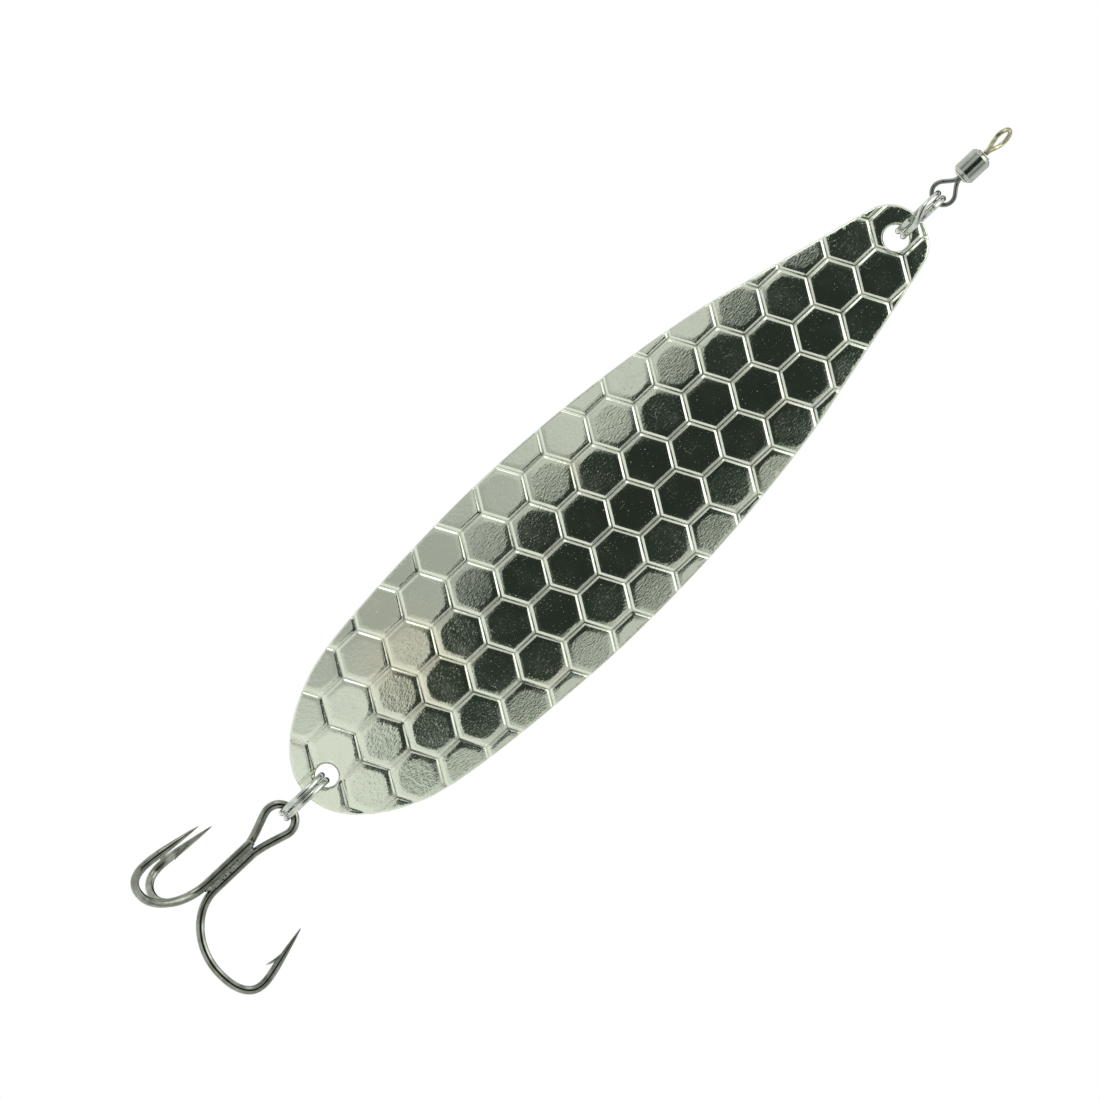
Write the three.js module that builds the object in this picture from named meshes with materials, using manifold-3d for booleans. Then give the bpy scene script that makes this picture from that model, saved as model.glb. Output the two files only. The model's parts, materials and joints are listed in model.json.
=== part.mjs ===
// Spoon lure: rolling swivel, split ring, hexagon-embossed blade, split ring, treble hook.
// Millimetres, +Z up. The lure hangs straight down from the line, with the convex face
// of the blade towards -Y. The origin is the inner top of the front swivel eye, where
// the line pulls.
import * as THREE from 'three';
import { mergeVertices } from 'three/addons/utils/BufferGeometryUtils.js';
import Module from 'manifold-3d';

const wasm = await Module();
wasm.setup();

// ---- driving dimensions ----

// rolling swivel
const EYE_WIRE = 0.68; // wire diameter of both eyes
const EYE_RADIUS = 1.77; // centreline radius of an eye's round end
const EYE_REACH = 5.12; // barrel end to the inner end of the eye
const FRONT_EYE_TURN = 67; // degrees about Z, out of the blade's plane
const STEM_DIAMETER = 0.86;
const STEM_FORK = 1.45; // barrel end to where the stem splits into the loop
const HEAD_DIAMETER = 2.0;
const HEAD_THICKNESS = 0.5;
const BARREL_DIAMETER = 3.53;
const BARREL_LENGTH = 4.6;
const BARREL_WALL = 0.4;
const BARREL_OPENING = 1.9;
const CRIMP_HEIGHT = 0.5; // the barrel's ends are crimped inwards as short cones
const CRIMP_END_DIAMETER = 2.6; // where a cone meets the flat end face
const CRIMP_INNER_DIAMETER = 2.5; // the same inside the barrel
const CRIMP_INNER_HEIGHT = 0.5;
const BUSH_BORE = 1.1;
const BUSH_LIP = 2.2; // diameter of the lip outside the barrel
const BUSH_FLANGE = 2.4; // diameter of the flange inside the barrel
const BUSH_LIP_THICKNESS = 0.2;
const BUSH_FLANGE_THICKNESS = 0.25;
const SWIVEL_PLAY = 0.08; // gap between the turning and the rolled pieces

// split rings
const RING_DIAMETER = 9.2;
const RING_WIRE = 0.95;
const RING_COIL_OFFSET = 0.53; // each turn's centreline from the ring's middle plane
const RING_ENDS = [28, 690]; // degrees from the front, up over the top, of the two cut ends
const RING_CROSSING = [330, 378]; // degrees where the wire crosses from side to side
const RING_IN_EYE_PLAY = 0.37; // slack between the front ring and the swivel's eye wire
const RING_IN_HOLE_PLAY = 0.55; // slack between the front ring and its hole's edge
const REAR_RING_SAG = 0.525; // rear hole's centre to the rear ring's top centreline

// blade
const BLADE_LENGTH = 126.8;
const BLADE_HALF_WIDTH = 16.37;
const BLADE_WIDEST = 77; // below the tip
const BLADE_THICKNESS = 1.0;
const NOSE_RADIUS = 6.0;
const NOSE_TAPER = 13; // degrees, where the nose arc meets the long side
const SHOULDER_HALF_WIDTH = 13.2; // where the long side meets the round tail
const SHOULDER_BELOW_TIP = 112.8;
const SHOULDER_TAPER = 16.3; // degrees
const FRONT_HOLE_DIAMETER = 4.0;
const REAR_HOLE_DIAMETER = 3.6;
const FRONT_HOLE_BELOW_TIP = 4.65;
const REAR_HOLE_ABOVE_TAIL = 4.3;
const BOW_RADIUS = 300; // curve along the blade
const DISH_RADIUS = 55; // curve across the blade

// hexagon cells pressed into the blade
const CELL_FLATS = 7.43; // pitch across the flats, two flats lie along Z
const CELL_COLUMN = -1.1; // X of the column of cells that starts at the first row
const CELL_FIRST_ROW = 3.65; // first row's centres below the tip
const CELL_LEAN = -0.0045; // how far the columns stray along X for each mm below the tip
const CELL_SQUEEZE = 0.9965; // how much closer the rows lie than in a regular pattern
const CELL_ROWS = 21;
const GROOVE_WIDTH = 1.0;
const GROOVE_DEPTH = 0.2;

// treble hook
const HOOK_WIRE = 1.3;
const HOOK_EYE_RADIUS = 2.4; // centreline
const HOOK_EYE_DROP = 1.055; // the ring's lowest centreline to the eye's centre
const SHANK_SPREAD = 0.97; // each shank's centreline from the hook's axis
const SHANK_TOP = -6.6; // from here down all three shanks are straight
const SHANK_END = -14.2; // where the bends begin
const SINGLE_TOP = -5.2; // cut end of the single hook's shank
const HOOK_LOWEST = new THREE.Vector2(10.4, -22.35); // radius and height of the bend's bottom
const HOOK_WIDEST = new THREE.Vector2(16.3, -18.25); // and of its outermost place
const POINT_BASE = new THREE.Vector2(15.8, -15.65); // where the taper starts
const POINT_TIP = new THREE.Vector2(14.05, -8.75);
const BARB_TIP = new THREE.Vector2(14.43, -16.35);
const BARB_NOTCH = new THREE.Vector2(15.6, -15.25);
const BARB_ROOT = new THREE.Vector2(14.9, -12.85);
const BARB_THICKNESS = 0.5;
const HOOK_ANGLES = { right: -3, back: 117, front: 237 }; // degrees about Z
const BRAZE_RADIUS = 1.2;
const BRAZE_GAP = 0.06;
const BRAZE_SHORT_OF_TOP = 0.2;
const BRAZE_SHORT_OF_END = 0.1;

// ---- places along the lure ----

const degrees = THREE.MathUtils.degToRad;
const barrelTop = -EYE_REACH;
const barrelBottom = barrelTop - BARREL_LENGTH;
const rearEyeWire = barrelBottom - EYE_REACH - EYE_WIRE / 2;
const ringRadius = (RING_DIAMETER - RING_WIRE) / 2;
const frontRingZ = rearEyeWire + EYE_WIRE / 2 + RING_IN_EYE_PLAY + RING_WIRE / 2 - ringRadius;
const frontRingLow = frontRingZ - ringRadius;
const frontHoleZ = frontRingLow + RING_WIRE / 2 + RING_IN_HOLE_PLAY - FRONT_HOLE_DIAMETER / 2;
const bladeTip = frontHoleZ + FRONT_HOLE_BELOW_TIP;
const bladeTail = bladeTip - BLADE_LENGTH;
const rearHoleZ = bladeTail + REAR_HOLE_ABOVE_TAIL;
const rearRingZ = rearHoleZ - ringRadius - REAR_RING_SAG;
const hookEyeZ = rearRingZ - ringRadius - HOOK_EYE_DROP;

// ---- materials ----

function metal(name, color, roughness) {
  return new THREE.MeshStandardMaterial({ name, color, roughness, metalness: 1 });
}

const plate = metal('nickel_plate', 0xc9ccbe, 0.16);
const ringSteel = metal('ring_steel', 0xc4c8c2, 0.25);
const barrelSteel = metal('barrel_steel', 0xb4b8b8, 0.2);
const brass = metal('brass', 0xb0a87c, 0.35);
const eyeBrass = metal('aged_brass', 0x8c8766, 0.4);
const eyeSteel = metal('dark_steel', 0x6a6d6a, 0.4);
const hookBronze = metal('bronzed_hook', 0x5c605a, 0.35);
const braze = metal('braze', 0x6f726c, 0.55);

// ---- solids ----

// a closed three.js geometry as a manifold solid
function solid(geometry) {
  const bare = geometry.clone();
  bare.deleteAttribute('normal');
  bare.deleteAttribute('uv');
  const merged = mergeVertices(bare, 1e-5);
  return new wasm.Manifold(
    new wasm.Mesh({
      numProp: 3,
      vertProperties: new Float32Array(merged.attributes.position.array),
      triVerts: new Uint32Array(merged.index.array),
    }),
  );
}

// a manifold solid as a three.js geometry
function geometryOf(body) {
  const mesh = body.getMesh();
  const geometry = new THREE.BufferGeometry();
  geometry.setAttribute('position', new THREE.BufferAttribute(new Float32Array(mesh.vertProperties), 3));
  geometry.setIndex(new THREE.BufferAttribute(new Uint32Array(mesh.triVerts), 1));
  const faceted = geometry.toNonIndexed();
  faceted.computeVertexNormals();
  return faceted;
}

function join(...geometries) {
  return geometryOf(geometries.map(solid).reduce((sum, next) => sum.add(next)));
}

// a round wire along a curve
function wireAlong(curve, diameter, steps, sides = 8) {
  const section = new THREE.Shape();
  section.absarc(0, 0, diameter / 2, 0, 2 * Math.PI);
  return new THREE.ExtrudeGeometry(section, {
    extrudePath: curve,
    steps,
    curveSegments: sides / 2,
    bevelEnabled: false,
  });
}

// a turned piece about Z from a closed outline of [radius, height] points
function turned(outline, segments) {
  const points = outline.map(([radius, height]) => new THREE.Vector2(radius, height));
  return new THREE.LatheGeometry(points, segments).rotateX(Math.PI / 2);
}

function named(name, geometry, material) {
  const mesh = new THREE.Mesh(geometry, material);
  mesh.name = name;
  return mesh;
}

// ---- rolling swivel ----

// The loop of a swivel eye in the XZ plane; the barrel's end face is at z = 0.
function eyeLoopCurve() {
  const centre = EYE_REACH - EYE_RADIUS + EYE_WIRE / 2;
  const startAngle = degrees(-35);
  const legSink = 0.55; // how far the legs reach down into the stem
  const sideX = EYE_RADIUS * Math.cos(startAngle);
  const sideZ = centre + EYE_RADIUS * Math.sin(startAngle);
  const pull = 0.9; // how far each leg keeps the direction of the round end
  const pullX = sideX + pull * Math.sin(startAngle);
  const pullZ = sideZ - pull * Math.cos(startAngle);
  const legX = 0.08;
  const legZ = STEM_FORK - legSink;
  const loop = new THREE.CurvePath();
  const corner = (x, z) => new THREE.Vector3(x, 0, z);
  loop.add(
    new THREE.CubicBezierCurve3(
      corner(legX, legZ), corner(legX, STEM_FORK), corner(pullX, pullZ), corner(sideX, sideZ),
    ),
  );
  loop.add(new ArcInPlane(centre, EYE_RADIUS, startAngle, Math.PI - startAngle));
  loop.add(
    new THREE.CubicBezierCurve3(
      corner(-sideX, sideZ), corner(-pullX, pullZ), corner(-legX, STEM_FORK), corner(-legX, legZ),
    ),
  );
  return loop;
}

// An arc in the XZ plane about (0, 0, centreZ); the angle runs from +X towards +Z.
class ArcInPlane extends THREE.Curve {
  constructor(centreZ, radius, startAngle, endAngle) {
    super();
    Object.assign(this, { centreZ, radius, startAngle, endAngle });
  }

  getPoint(t, target = new THREE.Vector3()) {
    const angle = THREE.MathUtils.lerp(this.startAngle, this.endAngle, t);
    return target.set(this.radius * Math.cos(angle), 0, this.centreZ + this.radius * Math.sin(angle));
  }
}

// depth of the stem's head below the barrel's end face
const headTop = -(BARREL_WALL + 2 * SWIVEL_PLAY + BUSH_FLANGE_THICKNESS);

function swivelEye(name, material) {
  const stemRadius = STEM_DIAMETER / 2;
  const stem = turned(
    [
      [0, headTop - HEAD_THICKNESS],
      [HEAD_DIAMETER / 2 - 0.1, headTop - HEAD_THICKNESS],
      [HEAD_DIAMETER / 2, headTop - HEAD_THICKNESS + 0.1],
      [HEAD_DIAMETER / 2, headTop],
      [stemRadius, headTop],
      [stemRadius, STEM_FORK - 0.3],
      [stemRadius * 0.6, STEM_FORK],
      [0, STEM_FORK],
    ],
    12,
  );
  return named(name, join(stem, wireAlong(eyeLoopCurve(), EYE_WIRE, 36)), material);
}

function swivelBarrel() {
  const outer = BARREL_DIAMETER / 2;
  const inner = outer - BARREL_WALL;
  const opening = BARREL_OPENING / 2;
  const lowerHalf = [
    [opening, BARREL_WALL],
    [opening, 0],
    [CRIMP_END_DIAMETER / 2, 0],
    [outer, CRIMP_HEIGHT],
  ];
  const lowerInside = [
    [inner, CRIMP_INNER_HEIGHT],
    [CRIMP_INNER_DIAMETER / 2, BARREL_WALL],
    [opening, BARREL_WALL],
  ];
  const mirrored = (points) => points.toReversed().map(([radius, z]) => [radius, BARREL_LENGTH - z]);
  const outline = [...lowerHalf, ...mirrored(lowerHalf), ...mirrored(lowerInside).slice(1), ...lowerInside];
  const barrel = named('swivel_barrel', turned(outline, 32), barrelSteel);
  barrel.position.z = barrelBottom;
  return barrel;
}

// The bush is rolled into one end of the barrel; the barrel's end face is at z = 0.
function swivelBush(name) {
  const bore = BUSH_BORE / 2;
  const neck = BARREL_OPENING / 2 - SWIVEL_PLAY;
  const flangeTop = -BARREL_WALL - SWIVEL_PLAY;
  const flangeBottom = flangeTop - BUSH_FLANGE_THICKNESS;
  const lipTop = SWIVEL_PLAY + BUSH_LIP_THICKNESS;
  const outline = [
    [bore, flangeBottom],
    [BUSH_FLANGE / 2, flangeBottom],
    [BUSH_FLANGE / 2, flangeTop],
    [neck, flangeTop],
    [neck, SWIVEL_PLAY],
    [BUSH_LIP / 2, SWIVEL_PLAY],
    [BUSH_LIP / 2 - 0.1, lipTop],
    [bore, lipTop],
    [bore, flangeBottom],
  ];
  return named(name, turned(outline, 20), brass);
}

function swivel() {
  const front = new THREE.Group();
  front.position.z = barrelTop;
  const frontEye = swivelEye('swivel_front_eye', eyeBrass);
  frontEye.rotation.z = degrees(FRONT_EYE_TURN);
  front.add(frontEye, swivelBush('swivel_front_bush'));

  const rear = new THREE.Group();
  rear.position.z = barrelBottom;
  rear.rotation.x = Math.PI;
  rear.add(swivelEye('swivel_rear_eye', eyeSteel), swivelBush('swivel_rear_bush'));

  const group = new THREE.Group();
  group.add(front, swivelBarrel(), rear);
  return group;
}

// ---- split rings ----

// Two turns of wire about X. The angle runs from the front (-Y) up over the top. The
// first turn lies at +X; it crosses over to -X at the front, between its two cut ends.
class SplitRingCurve extends THREE.Curve {
  getPoint(t, target = new THREE.Vector3()) {
    const angle = THREE.MathUtils.lerp(...RING_ENDS, t);
    const crossing = THREE.MathUtils.smoothstep(angle, ...RING_CROSSING);
    const side = THREE.MathUtils.lerp(RING_COIL_OFFSET, -RING_COIL_OFFSET, crossing);
    const turn = degrees(angle);
    return target.set(side, -ringRadius * Math.cos(turn), ringRadius * Math.sin(turn));
  }
}

function splitRing(name, z, turnAboutZ) {
  const ring = named(name, wireAlong(new SplitRingCurve(), RING_WIRE, 60), ringSteel);
  ring.position.z = z;
  ring.rotation.z = degrees(turnAboutZ);
  return ring;
}

// ---- blade ----

// Y of the blade's middle surface: bowed along Z, dished along X, zero at both holes.
function bladeSurface(x, z) {
  const middle = (frontHoleZ + rearHoleZ) / 2;
  const halfSpan = (frontHoleZ - rearHoleZ) / 2;
  const bow = ((z - middle) ** 2 - halfSpan ** 2) / (2 * BOW_RADIUS);
  return bow + x ** 2 / (2 * DISH_RADIUS);
}

// The blade's outline as a shape in (x, z), tip up.
function bladeOutline() {
  const noseCentre = bladeTip - NOSE_RADIUS;
  const taper = degrees(NOSE_TAPER);
  const noseX = NOSE_RADIUS * Math.cos(taper);
  const noseZ = noseCentre + NOSE_RADIUS * Math.sin(taper);
  const widest = bladeTip - BLADE_WIDEST;
  const shoulderZ = bladeTip - SHOULDER_BELOW_TIP;
  const shoulderTaper = degrees(SHOULDER_TAPER);
  const along = (distance) => [
    SHOULDER_HALF_WIDTH + distance * Math.sin(shoulderTaper),
    shoulderZ + distance * Math.cos(shoulderTaper),
  ];
  const nosePull = 10.3;
  const widestPullUp = 37;
  const widestPullDown = 5.1;
  const shoulderPullUp = 8;
  const shoulderPullDown = 2;
  const tailPull = 8.5;
  const side = [
    [noseX + nosePull * Math.sin(taper), noseZ - nosePull * Math.cos(taper)],
    [BLADE_HALF_WIDTH, widest + widestPullUp],
    [BLADE_HALF_WIDTH, widest],
    [BLADE_HALF_WIDTH, widest - widestPullDown],
    along(shoulderPullUp),
    along(0),
    along(-shoulderPullDown),
    [tailPull, bladeTail],
    [0, bladeTail],
  ];
  const otherSide = side.slice(0, -1).reverse().map(([x, z]) => [-x, z]);
  otherSide.push([-noseX, noseZ]);
  const points = [...side, ...otherSide];
  const outline = new THREE.Shape();
  outline.moveTo(noseX, noseZ);
  for (let i = 0; i < points.length; i += 3) {
    outline.bezierCurveTo(...points[i], ...points[i + 1], ...points[i + 2]);
  }
  outline.absarc(0, noseCentre, NOSE_RADIUS, Math.PI - taper, taper, true);
  return outline;
}

// centres [x, z] of the hexagon cells that the outline can touch
function cellCentres() {
  const rowPitch = (CELL_FLATS * Math.sqrt(3)) / 2;
  const centres = [];
  for (let row = -1; row < CELL_ROWS; row += 1) {
    const z = bladeTip - CELL_FIRST_ROW - row * rowPitch;
    const shift = row % 2 === 0 ? 0 : CELL_FLATS / 2;
    for (let column = -3; column <= 3; column += 1) {
      centres.push([CELL_COLUMN + shift + column * CELL_FLATS, z]);
    }
  }
  return centres;
}

// a place in the regular pattern, as it lies on the blade
function onBlade(x, z) {
  const below = bladeTip - z;
  return [x + CELL_LEAN * below, bladeTip - CELL_SQUEEZE * below];
}

// A sheet of pressed cells: flat-topped hexagons with a V groove between them on the
// front, and the same relief on the back, so the sheet keeps its thickness.
function cellSheet() {
  const outerRadius = CELL_FLATS / Math.sqrt(3);
  const innerRadius = outerRadius - GROOVE_WIDTH / Math.sqrt(3);
  const corner = ([x, z], radius, i, relief, side) => {
    const angle = degrees(30 + 60 * i);
    const [cornerX, cornerZ] = onBlade(x + radius * Math.cos(angle), z + radius * Math.sin(angle));
    const y = bladeSurface(cornerX, cornerZ) + relief + (side * BLADE_THICKNESS) / 2;
    return new THREE.Vector3(cornerX, y, cornerZ);
  };
  const centres = cellCentres();
  const hasNeighbour = ([x, z], i) => {
    const angle = degrees(60 + 60 * i);
    const neighbourX = x + CELL_FLATS * Math.cos(angle);
    const neighbourZ = z + CELL_FLATS * Math.sin(angle);
    return centres.some((other) => Math.hypot(other[0] - neighbourX, other[1] - neighbourZ) < 0.1);
  };
  const points = [];
  const triangle = (a, b, c, flip) => points.push(...(flip ? [a, c, b] : [a, b, c]));
  for (const centre of centres) {
    for (const side of [-1, 1]) {
      const flip = side > 0;
      const top = (i) => corner(centre, innerRadius, i, 0, side);
      const groove = (i) => corner(centre, outerRadius, i, GROOVE_DEPTH, side);
      for (let i = 1; i < 5; i += 1) triangle(top(0), top(i), top(i + 1), flip);
      for (let i = 0; i < 6; i += 1) {
        triangle(top(i), groove(i), groove(i + 1), flip);
        triangle(top(i), groove(i + 1), top(i + 1), flip);
      }
    }
    for (let i = 0; i < 6; i += 1) {
      if (hasNeighbour(centre, i)) continue;
      const [a, b] = [i, i + 1].map((k) => corner(centre, outerRadius, k, GROOVE_DEPTH, -1));
      const [backA, backB] = [i, i + 1].map((k) => corner(centre, outerRadius, k, GROOVE_DEPTH, 1));
      triangle(b, a, backA, false);
      triangle(b, backA, backB, false);
    }
  }
  return new THREE.BufferGeometry().setFromPoints(points);
}

// a shape in (x, z) as a block that runs right through the blade along Y
function throughBlock(shape, curveSegments) {
  const depth = 30;
  return new THREE.ExtrudeGeometry(shape, { depth, curveSegments, bevelEnabled: false })
    .rotateX(Math.PI / 2)
    .translate(0, depth / 2, 0);
}

function blade() {
  let body = solid(cellSheet()).intersect(solid(throughBlock(bladeOutline(), 9)));
  const holes = [[frontHoleZ, FRONT_HOLE_DIAMETER], [rearHoleZ, REAR_HOLE_DIAMETER]];
  for (const [holeZ, diameter] of holes) {
    const hole = new THREE.Shape();
    hole.absarc(0, holeZ, diameter / 2, 0, 2 * Math.PI);
    body = body.subtract(solid(throughBlock(hole, 12)));
  }
  return named('blade', geometryOf(body), plate);
}

// ---- treble hook ----

// a point at a radius and height in the half plane that leaves the hook's axis at an angle
function hookPoint(angleDegrees, radius, height) {
  const angle = degrees(angleDegrees);
  return new THREE.Vector3(radius * Math.cos(angle), radius * Math.sin(angle), height);
}

// shank, bend and the straight part of the point, from the eye's end outwards
function hookArmCurves(angle, shankTop) {
  const at = (radius, height) => hookPoint(angle, radius, height);
  const lowest = at(HOOK_LOWEST.x, HOOK_LOWEST.y);
  const widest = at(HOOK_WIDEST.x, HOOK_WIDEST.y);
  const shankPull = 4.4; // each pull is how far the bend keeps a stretch's direction
  const lowestPullIn = 5;
  const lowestPullOut = 3.8;
  const widestPull = 2.8;
  const widestLean = 0.2;
  return [
    new THREE.LineCurve3(at(SHANK_SPREAD, shankTop), at(SHANK_SPREAD, SHANK_END)),
    new THREE.CubicBezierCurve3(
      at(SHANK_SPREAD, SHANK_END),
      at(SHANK_SPREAD, SHANK_END - shankPull),
      at(HOOK_LOWEST.x - lowestPullIn, HOOK_LOWEST.y),
      lowest,
    ),
    new THREE.CubicBezierCurve3(
      lowest,
      at(HOOK_LOWEST.x + lowestPullOut, HOOK_LOWEST.y),
      at(HOOK_WIDEST.x + widestLean, HOOK_WIDEST.y - widestPull),
      widest,
    ),
    new THREE.LineCurve3(widest, at(POINT_BASE.x, POINT_BASE.y)),
  ];
}

// the same curves walked the other way
function reversed(curves) {
  return curves.toReversed().map((curve) => {
    if (curve.isLineCurve3) return new THREE.LineCurve3(curve.v2, curve.v1);
    return new THREE.CubicBezierCurve3(curve.v3, curve.v2, curve.v1, curve.v0);
  });
}

// one leg of the eye, from the straight shank up to the round end at side +1 or -1
function eyeLeg(angle, side, roundStart) {
  const roundX = side * HOOK_EYE_RADIUS * Math.cos(roundStart);
  const roundZ = HOOK_EYE_RADIUS * Math.sin(roundStart);
  const pull = 1.7; // how far the leg keeps the round end's direction
  const shankPull = 1.6;
  const shank = hookPoint(angle, SHANK_SPREAD, SHANK_TOP);
  return new THREE.CubicBezierCurve3(
    shank,
    new THREE.Vector3(shank.x, shank.y, SHANK_TOP + shankPull),
    new THREE.Vector3(roundX + side * pull * Math.sin(roundStart), 0, roundZ - pull * Math.cos(roundStart)),
    new THREE.Vector3(roundX, 0, roundZ),
  );
}

function pathOf(curves) {
  const path = new THREE.CurvePath();
  curves.forEach((curve) => path.add(curve));
  return path;
}

// the ground point and its barb, sunk a little into the end of the wire
function hookTip(angle) {
  const base = hookPoint(angle, POINT_BASE.x, POINT_BASE.y);
  const tip = hookPoint(angle, POINT_TIP.x, POINT_TIP.y);
  const direction = tip.clone().sub(base);
  const length = direction.length();
  const sunk = 0.3;
  const radius = HOOK_WIRE / 2;
  const cone = turned(
    [[0, -sunk], [radius * 0.93, -sunk], [radius * 0.86, 0], [radius * 0.5, length * 0.6], [0, length]],
    8,
  );
  const toDirection = new THREE.Quaternion().setFromUnitVectors(
    new THREE.Vector3(0, 0, 1), direction.clone().normalize(),
  );
  cone.applyQuaternion(toDirection).translate(base.x, base.y, base.z);
  const barb = new THREE.ExtrudeGeometry(new THREE.Shape([BARB_TIP, BARB_NOTCH, BARB_ROOT]), {
    depth: BARB_THICKNESS,
    bevelEnabled: false,
  });
  barb.translate(0, 0, -BARB_THICKNESS / 2).rotateX(Math.PI / 2).rotateZ(degrees(angle));
  return [cone, barb];
}

function hookDouble() {
  const { right, back } = HOOK_ANGLES;
  const roundStart = degrees(-15);
  const wire = pathOf([
    ...reversed(hookArmCurves(back, SHANK_TOP)),
    eyeLeg(back, -1, roundStart),
    new ArcInPlane(0, HOOK_EYE_RADIUS, Math.PI - roundStart, roundStart),
    ...reversed([eyeLeg(right, 1, roundStart)]),
    ...hookArmCurves(right, SHANK_TOP),
  ]);
  const geometry = join(wireAlong(wire, HOOK_WIRE, 96), ...hookTip(right), ...hookTip(back));
  return named('hook_double', geometry, hookBronze);
}

function hookSingle() {
  const { front } = HOOK_ANGLES;
  const wire = pathOf(hookArmCurves(front, SINGLE_TOP));
  return named('hook_single', join(wireAlong(wire, HOOK_WIRE, 38), ...hookTip(front)), hookBronze);
}

// the braze fills the middle and the three valleys between the straight shanks
function hookBraze() {
  const top = SHANK_TOP - BRAZE_SHORT_OF_TOP;
  const bottom = SHANK_END + BRAZE_SHORT_OF_END;
  let body = solid(turned([[0, bottom], [BRAZE_RADIUS, bottom], [BRAZE_RADIUS, top], [0, top]], 18));
  for (const angle of Object.values(HOOK_ANGLES)) {
    const shank = hookPoint(angle, SHANK_SPREAD, 0);
    const radius = HOOK_WIRE / 2 + BRAZE_GAP;
    const clearance = turned([[0, bottom - 1], [radius, bottom - 1], [radius, top + 1], [0, top + 1]], 16);
    body = body.subtract(solid(clearance.translate(shank.x, shank.y, 0)));
  }
  return named('hook_braze', geometryOf(body), braze);
}

function trebleHook() {
  const hook = new THREE.Group();
  hook.position.z = hookEyeZ;
  hook.add(hookDouble(), hookSingle(), hookBraze());
  return hook;
}

// ---- assembly ----

const lure = new THREE.Group();
lure.add(
  swivel(),
  splitRing('front_split_ring', frontRingZ, 0),
  blade(),
  splitRing('rear_split_ring', rearRingZ, 180),
  trebleHook(),
);

export default lure;
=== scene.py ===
"""The looks of the spoon lure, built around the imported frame. Shapes are in millimetres
until new_piece() turns them into metres. The lure hangs along Z, and the patterned face of
the blade looks towards -Y."""

import json
import math

import bpy
import numpy as np
from mathutils import Matrix, Vector
from mathutils.kdtree import KDTree


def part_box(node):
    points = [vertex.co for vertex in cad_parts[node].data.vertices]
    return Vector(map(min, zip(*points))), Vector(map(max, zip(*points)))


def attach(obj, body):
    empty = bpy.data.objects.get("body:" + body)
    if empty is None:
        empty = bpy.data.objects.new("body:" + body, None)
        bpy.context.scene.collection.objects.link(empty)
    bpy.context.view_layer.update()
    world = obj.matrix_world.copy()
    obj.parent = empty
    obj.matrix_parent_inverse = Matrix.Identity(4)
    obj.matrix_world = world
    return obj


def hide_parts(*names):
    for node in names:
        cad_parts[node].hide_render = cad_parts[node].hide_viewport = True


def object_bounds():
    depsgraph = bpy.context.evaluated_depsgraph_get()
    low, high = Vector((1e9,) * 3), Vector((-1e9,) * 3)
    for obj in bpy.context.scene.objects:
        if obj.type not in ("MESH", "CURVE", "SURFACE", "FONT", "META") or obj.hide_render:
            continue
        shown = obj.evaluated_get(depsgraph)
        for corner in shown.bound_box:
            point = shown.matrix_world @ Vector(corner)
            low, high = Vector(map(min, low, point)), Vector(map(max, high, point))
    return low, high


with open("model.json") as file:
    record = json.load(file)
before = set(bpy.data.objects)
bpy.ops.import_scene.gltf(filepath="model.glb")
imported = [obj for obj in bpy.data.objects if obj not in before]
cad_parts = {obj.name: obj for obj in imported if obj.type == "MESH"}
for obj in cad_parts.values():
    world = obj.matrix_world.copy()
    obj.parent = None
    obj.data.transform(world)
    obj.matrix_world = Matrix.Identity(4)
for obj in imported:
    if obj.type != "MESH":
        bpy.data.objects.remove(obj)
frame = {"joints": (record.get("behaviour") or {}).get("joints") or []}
cad_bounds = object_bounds()
MM = 0.001


# ---- what the frame says ----

def node_box(node):
    """Lowest and highest corner of a CAD node, in millimetres."""
    low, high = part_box(node)
    return np.array(low) / MM, np.array(high) / MM


def joint_place(name):
    """Where a joint's axis passes, in millimetres."""
    joint = next(j for j in frame["joints"] if j["name"] == name)
    return np.array(joint["pos_m"]) / MM


# ---- curves ----

def unit(vectors):
    return vectors / np.linalg.norm(vectors, axis=-1, keepdims=True)


def bezier(a, b, c, d, count=60):
    """Points of a cubic curve from a to d."""
    t = np.linspace(0, 1, count)[:, None]
    a, b, c, d = (np.asarray(p, float) for p in (a, b, c, d))
    return (1 - t) ** 3 * a + 3 * (1 - t) ** 2 * t * b + 3 * (1 - t) * t ** 2 * c + t ** 3 * d


def bezier_corner(a, corner, b, steps):
    """Points of a rounded corner from a to b."""
    t = np.linspace(0, 1, steps)[:, None]
    return (1 - t) ** 2 * a + 2 * (1 - t) * t * corner + t ** 2 * b


def line(a, b, count=20):
    return np.linspace(np.asarray(a, float), np.asarray(b, float), count)


def arc(centre, radius, start, end, count=120):
    """An arc in the XZ plane, in degrees from +X towards +Z."""
    angle = np.radians(np.linspace(start, end, count))
    flat = np.zeros_like(angle)
    return np.asarray(centre) + radius * np.column_stack([np.cos(angle), flat, np.sin(angle)])


def joined(*stretches):
    """One path from stretches that follow each other."""
    return np.vstack([stretches[0], *[stretch[1:] for stretch in stretches[1:]]])


def path_length(path):
    steps = np.linalg.norm(np.diff(path, axis=0), axis=1)
    return np.concatenate([[0], np.cumsum(steps)])


def at_lengths(path, lengths):
    along = path_length(path)
    return np.column_stack([np.interp(lengths, along, path[:, k]) for k in range(path.shape[1])])


def smoothstep(low, high, x):
    t = np.clip((x - low) / (high - low), 0, 1)
    return t * t * (3 - 2 * t)


# ---- meshes ----

def new_object(name, data):
    made = bpy.data.objects.new(name, data)
    bpy.context.scene.collection.objects.link(made)
    return made


def new_piece(name, points, faces, material):
    mesh = bpy.data.meshes.new(name)
    mesh.from_pydata((np.asarray(points) * MM).tolist(), [], [list(f) for f in faces])
    mesh.update()
    mesh.shade_smooth()
    mesh.materials.append(material)
    return new_object(name, mesh)


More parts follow.
